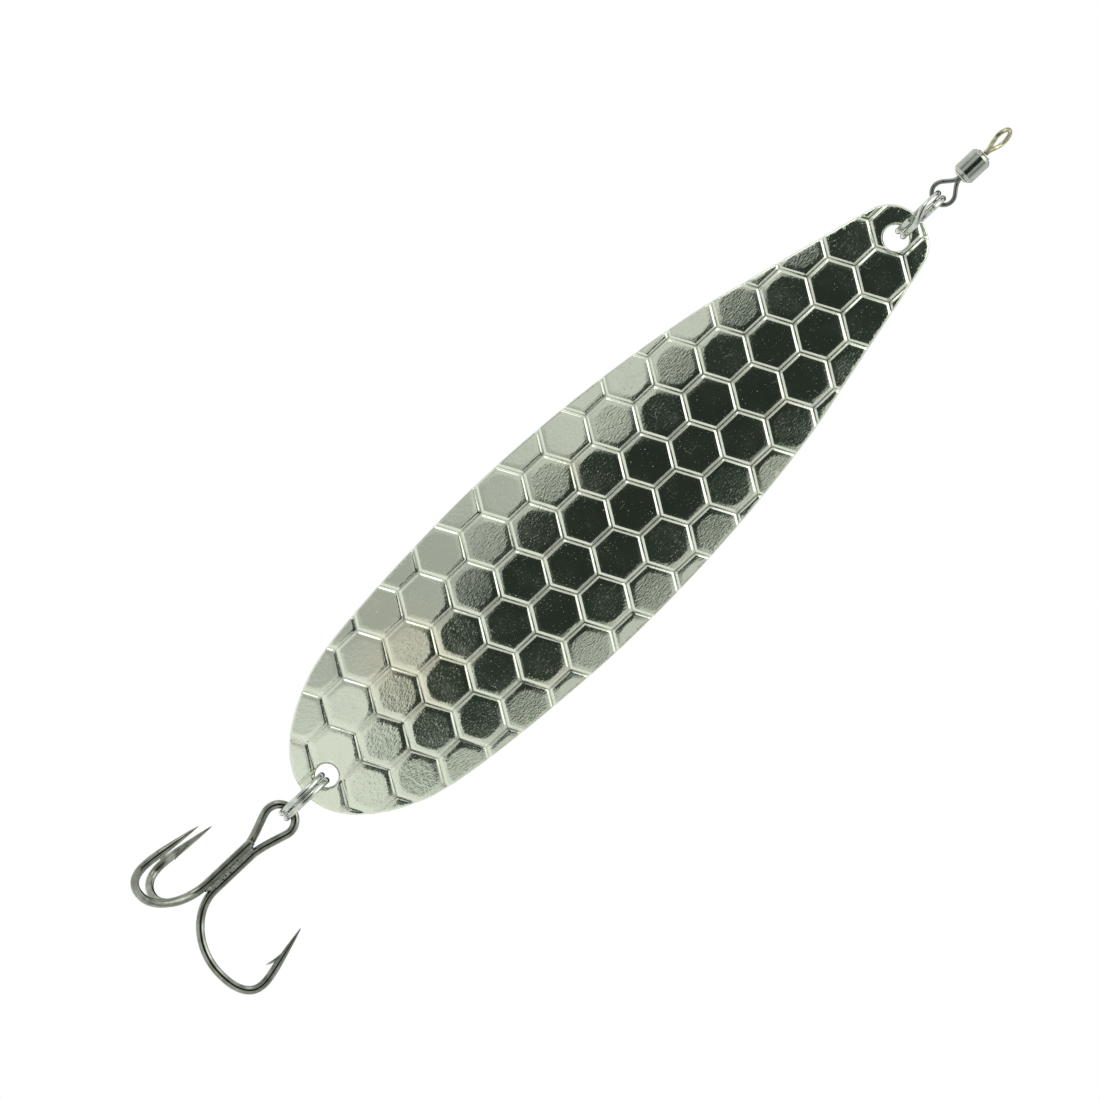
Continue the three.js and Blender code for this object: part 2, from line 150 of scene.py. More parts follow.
def belongs(piece, body, slot, *nodes):
    """The piece moves with a body and stands for CAD nodes. The slot is not used."""
    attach(piece, body)
    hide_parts(*nodes)


def carried_frames(path):
    """A tangent and two cross directions at each point, turning as little as they can."""
    tangents = unit(np.gradient(path, axis=0))
    helper = np.eye(3)[np.argmin(np.abs(tangents[0]))]
    side = unit(np.cross(tangents[0], helper))
    sides = []
    for tangent in tangents:
        side = unit(side - tangent * np.dot(side, tangent))
        sides.append(side)
    sides = np.array(sides)
    return tangents, sides, np.cross(tangents, sides)


EDGE_STEPS = 5
EDGE_SHARE = 0.8  # the most of a wire's radius that the rounded edge of a cut end takes


def tube(path, radius, spacing=0.12, sides=28, edge=0.12):
    """Points and faces of a closed round wire. radius is a number, or a function of the
    length along the path. Both cut ends get a rounded edge."""
    total = path_length(path)[-1]
    radius_at = radius if callable(radius) else (lambda s: np.full_like(s, radius))
    start_edge, end_edge = np.minimum(edge, EDGE_SHARE * radius_at(np.array([0.0, total])))
    middle = np.linspace(start_edge, total - end_edge, int(total / spacing))
    turn = np.linspace(0, math.pi / 2, EDGE_STEPS + 1)[:-1]
    start = start_edge * (1 - np.cos(turn))
    end = total - end_edge * (1 - np.cos(turn[::-1]))
    lengths = np.concatenate([start, middle, end])
    radii = radius_at(lengths)
    radii[:EDGE_STEPS] -= start_edge * (1 - np.sin(turn))
    radii[-EDGE_STEPS:] -= end_edge * (1 - np.sin(turn[::-1]))
    centres = at_lengths(path, lengths)
    _, across, up = carried_frames(centres)
    angle = np.linspace(0, 2 * math.pi, sides, endpoint=False)
    ring = np.cos(angle)[None, :, None] * across[:, None] + np.sin(angle)[None, :, None] * up[:, None]
    points = (centres[:, None] + radii[:, None, None] * ring).reshape(-1, 3)
    return close_rings(points, len(lengths), sides)


def close_rings(points, rings, sides):
    """Faces between rings of points, with a fan over each end."""
    faces = []
    for r in range(rings - 1):
        for s in range(sides):
            n = (s + 1) % sides
            faces.append((r * sides + s, r * sides + n, (r + 1) * sides + n, (r + 1) * sides + s))
    first, last = len(points), len(points) + 1
    start, end = points[:sides].mean(0), points[-sides:].mean(0)
    for s in range(sides):
        n = (s + 1) % sides
        faces.append((first, n, s))
        faces.append((last, (rings - 1) * sides + s, (rings - 1) * sides + n))
    return np.vstack([points, start, end]), faces


def turned(outline, segments):
    """Points and faces of a piece turned about Z from a closed outline of radius and height."""
    radius, height = outline.T
    count = len(radius)
    angle = np.linspace(0, 2 * math.pi, segments, endpoint=False)[:, None]
    heights = np.broadcast_to(height, (segments, count))
    points = np.stack([radius * np.cos(angle), radius * np.sin(angle), heights], axis=-1).reshape(-1, 3)
    faces = []
    for a in range(segments):
        b = (a + 1) % segments
        for i in range(count):
            j = (i + 1) % count
            faces.append((a * count + i, b * count + i, b * count + j, a * count + j))
    return points, faces


def rounded_outline(corners, steps=5):
    """A closed outline of [x, y, corner radius] with each corner rounded."""
    corners = np.asarray(corners, float)
    outline = []
    for i, (x, y, radius) in enumerate(corners):
        here = np.array([x, y])
        before = unit(corners[i - 1, :2] - here)
        after = unit(corners[(i + 1) % len(corners), :2] - here)
        if radius == 0:
            outline.append(here)
            continue
        half = math.acos(np.clip(np.dot(before, after), -1, 1)) / 2
        reach = radius / math.tan(half)
        outline.extend(bezier_corner(here + before * reach, here, here + after * reach, steps))
    return np.array(outline)


def merged(*shapes):
    """Several (points, faces) shapes as one."""
    points, faces, offset = [], [], 0
    for shape_points, shape_faces in shapes:
        points.append(shape_points)
        faces += [tuple(i + offset for i in face) for face in shape_faces]
        offset += len(shape_points)
    return np.vstack(points), faces


def moved(shape, matrix):
    points, faces = shape
    matrix = np.array(matrix)
    return points @ matrix[:3, :3].T + matrix[:3, 3], faces


def unite(piece, *others):
    """Joins other pieces into the first, as one closed surface, and removes them."""
    for other in others:
        modifier = piece.modifiers.new("join", "BOOLEAN")
        modifier.operation = "UNION"
        modifier.solver = "EXACT"
        modifier.object = other
    graph = bpy.context.evaluated_depsgraph_get()
    mesh = bpy.data.meshes.new_from_object(piece.evaluated_get(graph))
    piece.modifiers.clear()
    piece.data = mesh
    for other in others:
        bpy.data.objects.remove(other)
    return piece


# ---- materials, with their lengths in metres ----

class Nodes:
    """A node tree with a short way to add linked nodes."""

    def __init__(self, tree):
        self.tree = tree
        tree.nodes.clear()

    def add(self, kind, inputs=None, **settings):
        node = self.tree.nodes.new(kind)
        for key, value in settings.items():
            setattr(node, key, value)
        for key, value in (inputs or {}).items():
            if isinstance(value, bpy.types.NodeSocket):
                self.tree.links.new(value, node.inputs[key])
            else:
                node.inputs[key].default_value = value
        return node

    def maths(self, operation, a, b=0.0):
        return self.add("ShaderNodeMath", {0: a, 1: b}, operation=operation).outputs[0]

    def ramp(self, value, low, high, to_low=0.0, to_high=1.0):
        node = self.add(
            "ShaderNodeMapRange",
            {"Value": value, "From Min": low, "From Max": high, "To Min": to_low, "To Max": to_high},
            interpolation_type="SMOOTHSTEP",
        )
        return node.outputs["Result"]

    def noise(self, place, size, detail=2.0, roughness=0.5):
        """Noise from 0 to 1 whose features are about as wide as size."""
        node = self.add(
            "ShaderNodeTexNoise",
            {"Vector": place, "Scale": 1 / size, "Detail": detail, "Roughness": roughness},
        )
        return node.outputs["Fac"]

    def mix(self, share, a, b):
        node = self.add("ShaderNodeMix", {"Factor": share}, data_type="RGBA")
        for socket, value in ((node.inputs[6], a), (node.inputs[7], b)):
            if isinstance(value, bpy.types.NodeSocket):
                self.tree.links.new(value, socket)
            else:
                socket.default_value = (*value, 1)
        return node.outputs[2]

    def sheet_place(self, place):
        """The place as (x, z, 0), for marks on a sheet that faces Y."""
        parts = self.add("ShaderNodeSeparateXYZ", {0: place})
        return self.add("ShaderNodeCombineXYZ", {0: parts.outputs[0], 1: parts.outputs[2]}).outputs[0]

    def stretched(self, place, angle, stretch):
        """A sheet place turned and stretched, so that a texture on it becomes long marks."""
        turned_place = self.add(
            "ShaderNodeMapping",
            {"Vector": place, "Rotation": (0, 0, angle), "Scale": (1, stretch, 1)},
            vector_type="TEXTURE",
        )
        return turned_place.outputs["Vector"]

    def specks(self, place, spacing, radius):
        """1 in small round specks of all strengths, one for each spacing."""
        cells = self.add(
            "ShaderNodeTexVoronoi", {"Vector": place, "Scale": 1 / spacing},
            feature="F1", voronoi_dimensions="2D",
        )
        spot = self.ramp(cells.outputs["Distance"], radius / spacing, 0.5 * radius / spacing)
        chance = self.add("ShaderNodeSeparateColor", {0: cells.outputs["Color"]}).outputs[0]
        return self.maths("MULTIPLY", spot, self.ramp(chance, 0.35, 1.0))

    def bump(self, height, distance, normal=None):
        node = self.add("ShaderNodeBump", {"Height": height, "Distance": distance, "Strength": 1.0})
        if normal is not None:
            self.tree.links.new(normal, node.inputs["Normal"])
        return node.outputs["Normal"]


def new_material(name):
    material = bpy.data.materials.new(name)
    material.use_nodes = True
    nodes = Nodes(material.node_tree)
    place = nodes.add("ShaderNodeTexCoord").outputs["Object"]
    return material, nodes, place


def finish_metal(nodes, color, roughness, normal):
    shader = nodes.add("ShaderNodeBsdfPrincipled", {"Metallic": 1.0, "Base Color": color,
                                                    "Roughness": roughness, "Normal": normal})
    nodes.add("ShaderNodeOutputMaterial", {"Surface": shader.outputs[0]})


CLEAN_NICKEL = (0.60, 0.65, 0.535)
# brownish tint in random patches and one patch on the blade: painted reflection
BROWN_REFLECTION_NICKEL = (0.66, 0.64, 0.49)
DUSTY_NICKEL = (0.80, 0.82, 0.76)
REFLECTION_PATCH_PLACE = (-0.003, -0.120, 0)  # x and z on the blade, where a patch of painted brownish reflection lies
REFLECTION_PATCH_EDGE = 0.011
REFLECTION_PATCH_CORE = 0.004
SCRATCHES = ((0.15, 0.0011), (-0.35, 0.0016), (1.1, 0.0021), (-1.3, 0.0018))  # angle and spacing
SCRATCH_LENGTH = 22.0  # for each unit of its width
SCRATCH_RADIUS = 0.000035


def plate_metal():
    """Bright nickel plate: rolling grain, orange peel, haze, scratches, a painted brownish reflection,
    dust.
    """
    material, nodes, place = new_material("nickel_plate")
    sheet = nodes.sheet_place(place)

    # painted brownish reflection: random patches, and one patch at a place on the blade
    brown_reflection = nodes.ramp(nodes.noise(sheet, 0.014, 1.0), 0.60, 0.78, 0.0, 0.7)
    from_reflection_patch = nodes.add("ShaderNodeVectorMath", {0: sheet, 1: REFLECTION_PATCH_PLACE}, operation="DISTANCE")
    reflection_patch = nodes.ramp(from_reflection_patch.outputs["Value"], REFLECTION_PATCH_EDGE, REFLECTION_PATCH_CORE, 0.0, 0.7)
    brown_reflection = nodes.maths("MAXIMUM", brown_reflection, reflection_patch)
    fine_dust = nodes.specks(sheet, 0.00065, 0.00006)
    coarse_dust = nodes.specks(sheet, 0.0025, 0.00011)
    dusty_patches = nodes.ramp(nodes.noise(sheet, 0.003, 1.0), 0.40, 0.60, 0.45, 1.0)
    dust = nodes.maths("MULTIPLY", nodes.maths("MAXIMUM", fine_dust, coarse_dust), dusty_patches)
    color = nodes.mix(dust, nodes.mix(brown_reflection, CLEAN_NICKEL, BROWN_REFLECTION_NICKEL), DUSTY_NICKEL)

    scratches = 0.0
    for angle, spacing in SCRATCHES:
        marks = nodes.specks(nodes.stretched(sheet, angle, SCRATCH_LENGTH), spacing, SCRATCH_RADIUS)
        scratches = nodes.maths("MAXIMUM", scratches, marks)
    haze = nodes.ramp(nodes.noise(sheet, 0.005, 3.0), 0.35, 0.7, 0.06, 0.14)
    grain = nodes.noise(nodes.stretched(sheet, 0.12, 2.2), 0.00027, 2.0, 0.6)
    grit = nodes.ramp(grain, 0.55, 0.75, 0.0, 0.12)
    frost = nodes.add("ShaderNodeAttribute", attribute_name="frost").outputs["Fac"]
    patchy = nodes.ramp(nodes.noise(sheet, 0.0007, 2.0), 0.3, 0.7, 0.7, 1.1)
    worn = nodes.maths("MULTIPLY", frost, patchy)
    roughness = nodes.maths("ADD", haze, grit)
    for mark, dulling in ((worn, 0.24), (dust, 0.45), (scratches, 0.3)):
        roughness = nodes.maths("ADD", roughness, nodes.maths("MULTIPLY", mark, dulling))

    orange_peel = nodes.noise(sheet, 0.0022, 1.0)
    rolling_lines = nodes.noise(nodes.stretched(sheet, -0.08, 5.0), 0.00012, 1.0)
    etching = nodes.noise(sheet, 0.00012, 2.0, 0.7)
    normal = nodes.bump(orange_peel, 1.2e-5)
    normal = nodes.bump(grain, 1.6e-5, normal)
    normal = nodes.bump(rolling_lines, 5.0e-6, normal)
    normal = nodes.bump(etching, nodes.maths("MULTIPLY", worn, 8.0e-6), normal)
    normal = nodes.bump(scratches, 1.2e-6, normal)
    finish_metal(nodes, color, roughness, normal)
    return material


def wire_metal(name, light, dark, roughness, grain=0.0006, ripple=1.5e-6):
    """Plated or drawn wire: mottled colour, uneven gloss and a fine ripple."""
    material, nodes, place = new_material(name)
    mottle = nodes.ramp(nodes.noise(place, grain * 2, 3.0), 0.35, 0.7)
    color = nodes.mix(mottle, dark, light)
    gloss = nodes.ramp(nodes.noise(place, grain, 2.0), 0.3, 0.7, roughness * 0.7, roughness * 1.4)
    normal = nodes.bump(nodes.noise(place, grain / 2, 3.0, 0.6), ripple)
    finish_metal(nodes, color, gloss, normal)
    return material


BRAZE_DARK = (0.18, 0.195, 0.165)
BRAZE_LIGHT = (0.32, 0.34, 0.29)
PIT_COLOR = (0.07, 0.08, 0.065)
PIT_SPACING = 0.00075


def braze_metal():
    """Silver-grey braze with pits and a rough skin."""
    material, nodes, place = new_material("braze")
    mottle = nodes.ramp(nodes.noise(place, 0.0006, 3.0), 0.3, 0.7)
    cells = nodes.add("ShaderNodeTexVoronoi", {"Vector": place, "Scale": 1 / PIT_SPACING},
                      feature="F1").outputs["Distance"]
    pit = nodes.ramp(cells, 0.20, 0.38)
    color = nodes.mix(pit, PIT_COLOR, nodes.mix(mottle, BRAZE_DARK, BRAZE_LIGHT))
    normal = nodes.bump(nodes.noise(place, 0.0005, 2.0, 0.5), 2.5e-5)
    normal = nodes.bump(pit, 7.0e-5, normal)
    finish_metal(nodes, color, nodes.ramp(mottle, 0.0, 1.0, 0.5, 0.34), normal)
    return material


# ---- rolling swivel ----

EYE_WIRE = 0.68
EYE_RADIUS = 1.77
EYE_CLOSING = -35.0  # degrees from the loop's widest place to where its legs begin
LEG_SPREAD = 0.04  # how far the legs' wires stand out of the stem
LEG_FOOT = 0.35
LEG_FOOT_PULL = 0.95
LEG_SIDE_PULL = 0.9
STEM_RADIUS = 0.43
STEM_AXIS = 0.001  # as near to its axis as the stem's outline comes
STEM_FORK = 1.45
HEAD_RADIUS = 1.0
HEAD_THICKNESS = 0.5
FRONT_EYE_TURN = 67.0
BARREL_WALL = 0.4
BARREL_OPENING = 0.95
CRIMP_END_RADIUS = 1.3
CRIMP_HEIGHT = 0.5
CRIMP_INNER_HEIGHT = 0.65
SWIVEL_PLAY = 0.08
BUSH_FLANGE = 1.2
BUSH_FLANGE_THICKNESS = 0.25
BUSH_LIP = 1.1
BUSH_LIP_THICKNESS = 0.2
BUSH_BORE = 0.55


def swivel_eye(name, material, reach):
    """Loop, stem and head; the barrel's end face is at z = 0 and the loop is above it."""
    centre = reach - EYE_RADIUS + EYE_WIRE / 2
    round_end = arc((0, 0, centre), EYE_RADIUS, EYE_CLOSING, 180 - EYE_CLOSING)
    side = round_end[0]
    turn = math.radians(EYE_CLOSING)
    along = np.array([math.sin(turn), 0, -math.cos(turn)])
    foot = np.array([STEM_RADIUS - EYE_WIRE / 2 + LEG_SPREAD, 0, LEG_FOOT])
    leg = bezier(foot, foot + (0, 0, LEG_FOOT_PULL), side + LEG_SIDE_PULL * along, side)
    other_leg = leg[::-1] * (-1, 1, 1)
    loop = tube(joined(leg, round_end, other_leg), EYE_WIRE / 2, spacing=0.07)
    head_top = -(BARREL_WALL + 2 * SWIVEL_PLAY + BUSH_FLANGE_THICKNESS)
    stem = turned(
        rounded_outline([
            (STEM_AXIS, head_top - HEAD_THICKNESS, 0),
            (HEAD_RADIUS, head_top - HEAD_THICKNESS, 0.18),
            (HEAD_RADIUS, head_top, 0.12),
            (STEM_RADIUS, head_top, 0.08),
            (STEM_RADIUS, STEM_FORK - 0.25, 0.15),
            (STEM_AXIS, STEM_FORK - 0.05, 0),
        ]),
        48,
    )
    piece = new_piece(name, *loop, material)
    return unite(piece, new_piece(name + "_stem", *stem, material))


def swivel_bush(name, material):
    """Brass lip, neck and flange; the barrel's end face is at z = 0."""
    neck = BARREL_OPENING - SWIVEL_PLAY
    flange_top = -(BARREL_WALL + SWIVEL_PLAY)
    outline = rounded_outline([
        (BUSH_BORE, flange_top - BUSH_FLANGE_THICKNESS, 0.05),
        (BUSH_FLANGE, flange_top - BUSH_FLANGE_THICKNESS, 0.06),
        (BUSH_FLANGE, flange_top, 0.06),
        (neck, flange_top, 0.02),
        (neck, SWIVEL_PLAY, 0.02),
        (BUSH_LIP, SWIVEL_PLAY, 0.06),
        (BUSH_LIP - 0.06, SWIVEL_PLAY + BUSH_LIP_THICKNESS, 0.09),
        (BUSH_BORE, SWIVEL_PLAY + BUSH_LIP_THICKNESS, 0.06),
    ])
    return new_piece(name, *turned(outline, 64), material)


def swivel_barrel(material):
    """A tube whose ends are crimped inwards as short cones."""
    low, high = node_box("swivel_barrel")
    radius = high[0]
    height = high[2] - low[2]
    lower = np.array([
        (BARREL_OPENING, BARREL_WALL, 0.05),
        (BARREL_OPENING, 0, 0.1),
        (CRIMP_END_RADIUS, 0, 0.2),
        (radius, CRIMP_HEIGHT, 0.22),
    ])
    inside = np.array([
        (radius - BARREL_WALL, CRIMP_INNER_HEIGHT, 0.1),
        (CRIMP_END_RADIUS - 0.05, BARREL_WALL, 0.05),
    ])
    flipped = [np.column_stack([half[::-1, 0], height - half[::-1, 1], half[::-1, 2]])
               for half in (lower, inside)]
    outline = rounded_outline(np.vstack([lower, *flipped, inside]), steps=9)
    points, faces = turned(outline, 128)
    return new_piece("barrel_shell", points + (0, 0, low[2]), faces, material)


def put(piece, matrix):
    """Places a piece by changing its mesh, so that its object stays at the origin."""
    piece.data.transform(matrix)
    piece.data.update()
    return piece


def swivel(barrel_metal, brass, front_metal, rear_metal):
    low, high = node_box("swivel_barrel")
    reach = -high[2]
    front = Matrix.Translation((0, 0, high[2] * MM))
    rear = Matrix.Translation((0, 0, low[2] * MM)) @ Matrix.Rotation(math.pi, 4, "X")
    turn = Matrix.Rotation(math.radians(FRONT_EYE_TURN), 4, "Z")
    belongs(put(swivel_eye("line_eye_wire", front_metal, reach), front @ turn),
            "line_eye", "aged_brass", "swivel_front_eye")
    belongs(put(swivel_eye("rear_eye_wire", rear_metal, reach), rear),
            "rear_eye", "dark_steel", "swivel_rear_eye")
    belongs(put(swivel_bush("front_bush_lip", brass), front), "barrel", "brass", "swivel_front_bush")
    belongs(put(swivel_bush("rear_bush_lip", brass), rear), "barrel", "brass", "swivel_rear_bush")
    belongs(swivel_barrel(barrel_metal), "barrel", "barrel_steel", "swivel_barrel")


# ---- split rings ----

RING_WIRE = 0.95
RING_START = 28.0  # degrees round the ring, from its front towards its top
RING_END = 690.0
CROSSING_START = 330.0
CROSSING_END = 378.0


def split_ring(name, node, body, material, turn_about_z):
    """Two turns of wire that cross over at the front, between the two cut ends."""
    low, high = node_box(node)
    centre = (low + high) / 2
    radius = (high[2] - low[2] - RING_WIRE) / 2
    offset = high[0] - RING_WIRE / 2
    degrees = np.linspace(RING_START, RING_END, 1400)
    crossing = smoothstep(CROSSING_START, CROSSING_END, degrees)
    side = offset - 2 * offset * crossing
    angle = np.radians(degrees)
    path = np.column_stack([side, -radius * np.cos(angle), radius * np.sin(angle)])
    points, faces = tube(path, RING_WIRE / 2, spacing=0.13, sides=32, edge=0.14)
    turn = Matrix.Translation(Vector(centre)) @ Matrix.Rotation(math.radians(turn_about_z), 4, "Z")
    piece = new_piece(name, *moved((points, faces), turn), material)
    belongs(piece, body, "ring_steel", node)


# ---- blade ----

NOSE_RADIUS = 6.0
NOSE_TAPER = 13.0
NOSE_PULL = 10.3  # each pull is the length of a curve's handle at that place
WIDEST_BELOW_TIP = 77.0
WIDEST_PULL_UP = 37.0
WIDEST_PULL_DOWN = 5.1
SHOULDER_HALF_WIDTH = 13.2
SHOULDER_BELOW_TIP = 112.8
SHOULDER_TAPER = 16.3
SHOULDER_PULL_UP = 8.0
SHOULDER_PULL_DOWN = 2.0
TAIL_PULL = 8.5
FRONT_HOLE_RADIUS = 2.0
REAR_HOLE_RADIUS = 1.8
REAR_HOLE_ABOVE_TAIL = 4.3
BOW_RADIUS = 300.0
DISH_RADIUS = 55.0
BLADE_THICKNESS = 0.96
RIM_RADIUS = 0.32
RIM_STEPS = 8
RIM_SMOOTHING = 4  # rounds of evening out the directions in which the rim bulges

CELL_FLATS = 7.43
CELL_COLUMN = -1.1
CELL_FIRST_ROW = 3.65  # below the tip
CELL_LEAN = -0.0045  # how far the columns stray along X for each mm below the tip
CELL_SQUEEZE = 0.9965  # how much closer the rows lie than in a regular pattern
CELL_ROWS = 20
CELL_SIDE_STEPS = 8
DISC_RADIUS = 2.88  # the flat middle of a cell, across its rounded flats
DISC_HEXAGON = 0.72  # its shape, from 0 for a circle to 1 for a hexagon
DISC_FLATNESS = 0.85  # how much of the blade's curve is pressed out of it
ROLL_START = -0.35  # from the disc's edge to where the cell begins to roll off
ROLL_FULL = 0.15  # and to where it has its full slope
ROLL_SLOPE = math.tan(math.radians(3.3))
CELL_REACH = 5.0  # more than any place's distance from its cell's centre
WALL_SLOPE = math.tan(math.radians(29))
WALL_TOP = 0.42  # a wall's upper and lower places from the border between two cells
WALL_FOOT = 0.13
CELL_TILT = math.tan(math.radians(0.5))  # the most that a cell leans at random
FROST_PLACES = (0, 0.1, 0.24, 0.42, 0.6, 0.85, 1.0)  # from the border between two cells
FROST_SHARES = (0.9, 0.7, 0.35, 0.35, 0.22, 0.08, 0.0)


class Blade:
    """Outline, surface and relief of the blade, from the CAD node's box."""

    def __init__(self):
        low, high = node_box("blade")
        self.tip = high[2]
        self.tail = low[2]
        self.half_width = high[0]
        self.front_hole = joint_place("blade_swing")[2]
        self.rear_hole = self.tail + REAR_HOLE_ABOVE_TAIL
        self.outline = self.make_outline()
        self.centres = self.make_centres()
        rng = np.random.default_rng(7)
        self.tilts = rng.uniform(-CELL_TILT, CELL_TILT, (len(self.centres), 2))

    def make_outline(self):
        """The closed outline in (x, z), anticlockwise."""
        nose = self.tip - NOSE_RADIUS
        taper = math.radians(NOSE_TAPER)
        start = np.array([NOSE_RADIUS * math.cos(taper), nose + NOSE_RADIUS * math.sin(taper)])
        angle = np.linspace(math.pi - taper, taper, 120)
        nose_arc = np.column_stack([np.cos(angle), np.sin(angle)]) * NOSE_RADIUS + (0, nose)
        widest = np.array([self.half_width, self.tip - WIDEST_BELOW_TIP])
        shoulder = np.array([SHOULDER_HALF_WIDTH, self.tip - SHOULDER_BELOW_TIP])
        lean = math.radians(SHOULDER_TAPER)
        along = np.array([math.sin(lean), math.cos(lean)])
        down = np.array([math.sin(taper), -math.cos(taper)])
        right = joined(
            bezier(start, start + NOSE_PULL * down, widest + (0, WIDEST_PULL_UP), widest, 200),
            bezier(widest, widest - (0, WIDEST_PULL_DOWN), shoulder + SHOULDER_PULL_UP * along,
                   shoulder, 80),
            bezier(shoulder, shoulder - SHOULDER_PULL_DOWN * along, (TAIL_PULL, self.tail),
                   (0, self.tail), 160),
        )
        left = right[::-1][1:] * (-1, 1)
        clockwise = np.vstack([nose_arc[:-1], right, left[:-1]])
        return clockwise[::-1]

    def make_centres(self):
        """Centres (x, z) of the cells in the regular pattern."""
        centres = []
        for row in range(-1, CELL_ROWS):
            z = self.tip - CELL_FIRST_ROW - row * CELL_FLATS * math.sqrt(3) / 2
            shift = CELL_FLATS / 2 * (row % 2)
            centres += [(CELL_COLUMN + shift + column * CELL_FLATS, z) for column in range(-3, 4)]
        return np.array(centres)

    def middle(self, x, z):
        """Y of the middle surface and its slopes along X and Z."""
        centre = (self.front_hole + self.rear_hole) / 2
        half_span = (self.front_hole - self.rear_hole) / 2
        bow = ((z - centre) ** 2 - half_span ** 2) / (2 * BOW_RADIUS)
        return bow + x ** 2 / (2 * DISH_RADIUS), x / DISH_RADIUS, (z - centre) / BOW_RADIUS

    def relief(self, flat):
        """Height of the pressed pattern at points (x, z), outwards, and how frosted it is."""
        pattern = self.in_pattern(flat)
        gaps = np.linalg.norm(pattern[:, None] - self.centres[None], axis=2)
        nearest = gaps.argmin(1)
        local = pattern - self.centres[nearest]
        radius = np.linalg.norm(local, axis=1)
        across = (local @ flat_ways().T).max(1)
        border = CELL_FLATS / 2 - across
        held = local * np.minimum(1, DISC_RADIUS / np.maximum(radius, 1e-6))[:, None]
        curve = held[:, 0] ** 2 / (2 * DISH_RADIUS) + held[:, 1] ** 2 / (2 * BOW_RADIUS)
        tilt = (local * self.tilts[nearest]).sum(1) * smoothstep(0, WALL_TOP, border)
        out = DISC_HEXAGON * across + (1 - DISC_HEXAGON) * radius
        roll = fallen(roll_slope, CELL_REACH, out)
        groove = fallen(wall_slope, 1, 1 - border)
        frost = np.interp(border, FROST_PLACES, FROST_SHARES)
        return DISC_FLATNESS * curve + tilt - roll - groove, frost

    def outline_gap(self, flat, inset):
        """Distance inside the outline, less the inset, and the direction that goes in."""
        a = self.outline
        b = np.roll(a, -1, axis=0)
        way = unit(b - a)
        inward = np.column_stack([-way[:, 1], way[:, 0]])
        gaps = flat @ inward.T - (a * inward).sum(1)
        nearest = gaps.argmin(1)
        return gaps[np.arange(len(flat)), nearest] - inset, inward[nearest]

    def hole_gap(self, flat, height, radius):
        """Distance outside a radius about a hole's centre, and the direction away from it."""
        away = flat - (0, height)
        distance = np.linalg.norm(away, axis=1)
        return distance - radius, away / distance[:, None]

    def on_blade(self, pattern):
        """Places in the regular pattern, as they lie on the blade."""
        below = self.tip - pattern[:, 1]
        return np.column_stack([pattern[:, 0] + CELL_LEAN * below, self.tip - CELL_SQUEEZE * below])

    def in_pattern(self, flat):
        """The other way: from the blade back to the regular pattern."""
        below = (self.tip - flat[:, 1]) / CELL_SQUEEZE
        return np.column_stack([flat[:, 0] - CELL_LEAN * below, self.tip - below])


def flat_ways():
    """Unit vectors (x, z) from a cell's centre to the middles of its six sides."""
    turns = np.radians(np.arange(0, 360, 60))
    return np.column_stack([np.cos(turns), np.sin(turns)])


def fallen(slope, furthest, x):
    """How far a surface falls from 0 to x, for a slope that is a function of place."""
    places = np.linspace(0, furthest, 2001)
    middles = (places[1:] + places[:-1]) / 2
    fall = np.concatenate([[0], np.cumsum(slope(middles)) * (places[1] - places[0])])
    return np.interp(x, places, fall)


def roll_slope(place):
    """Slope of a cell's roll-off; the cell's centre is at 0."""
    return ROLL_SLOPE * smoothstep(DISC_RADIUS + ROLL_START, DISC_RADIUS + ROLL_FULL, place)


def wall_slope(place):
    """Slope of a groove's wall; the cells' border is at 1."""
    border = 1 - place
    return WALL_SLOPE * smoothstep(WALL_TOP + 0.1, WALL_TOP - 0.08, border) * smoothstep(
        WALL_FOOT - 0.04, WALL_FOOT + 0.04, border
    )


def cell_rings():
    """One cell's points in (x, z) about its centre, ring by ring from the middle out. The
    rings lie closer where the surface turns."""
    half = CELL_FLATS / 2
    corners = np.radians(30 + 60 * np.arange(7))
    corner_points = np.column_stack([np.cos(corners), np.sin(corners)]) / math.cos(math.radians(30))
    steps = np.linspace(0, 1, CELL_SIDE_STEPS, endpoint=False)[:, None]
    hexagon = np.vstack([
        corner_points[i] * (1 - steps) + corner_points[i + 1] * steps for i in range(6)
    ])
    circle = unit(hexagon)
    across = (circle @ flat_ways().T).max(1)[:, None]
    rounded = circle / (DISC_HEXAGON * across + 1 - DISC_HEXAGON)
    rolling = DISC_RADIUS + np.array([ROLL_START, -0.25, -0.15, -0.05, 0.05, ROLL_FULL])
    inner = [0.6, 1.2, 1.8, 2.3, *rolling]
    borders = [0.6, 0.52, 0.46, 0.4, 0.34, 0.24, 0.18, 0.15, 0.12, 0.09, 0]
    return [rounded * q for q in inner] + [hexagon * (half - border) for border in borders]


def cell_mesh(centres):
    """Flat mesh of all the cells, with the points on shared borders merged."""
    rings = cell_rings()
    sides = len(rings[0])
    one = np.vstack([[(0, 0)], *rings])
    points = (centres[:, None] + one[None]).reshape(-1, 2)
    faces = []
    for cell in range(len(centres)):
        base = cell * len(one)
        for s in range(sides):
            n = (s + 1) % sides
            faces.append((base, base + 1 + s, base + 1 + n))
            for r in range(len(rings) - 1):
                inner, outer = base + 1 + r * sides, base + 1 + (r + 1) * sides
                faces.append((inner + s, outer + s, outer + n, inner + n))
    return joined_up(points, faces)


def joined_up(points, faces, reach=0.002):
    """The same flat mesh with points that lie on each other made one."""
    tree = KDTree(len(points))
    for i, (x, z) in enumerate(points):
        tree.insert((x, z, 0), i)
    tree.balance()
    first = [min(i for _, i, _ in tree.find_range((x, z, 0), reach)) for x, z in points]
    kept = sorted(set(first))
    renamed = {old: new for new, old in enumerate(kept)}
    place = [renamed[i] for i in first]
    return points[kept], [tuple(place[i] for i in face) for face in faces]


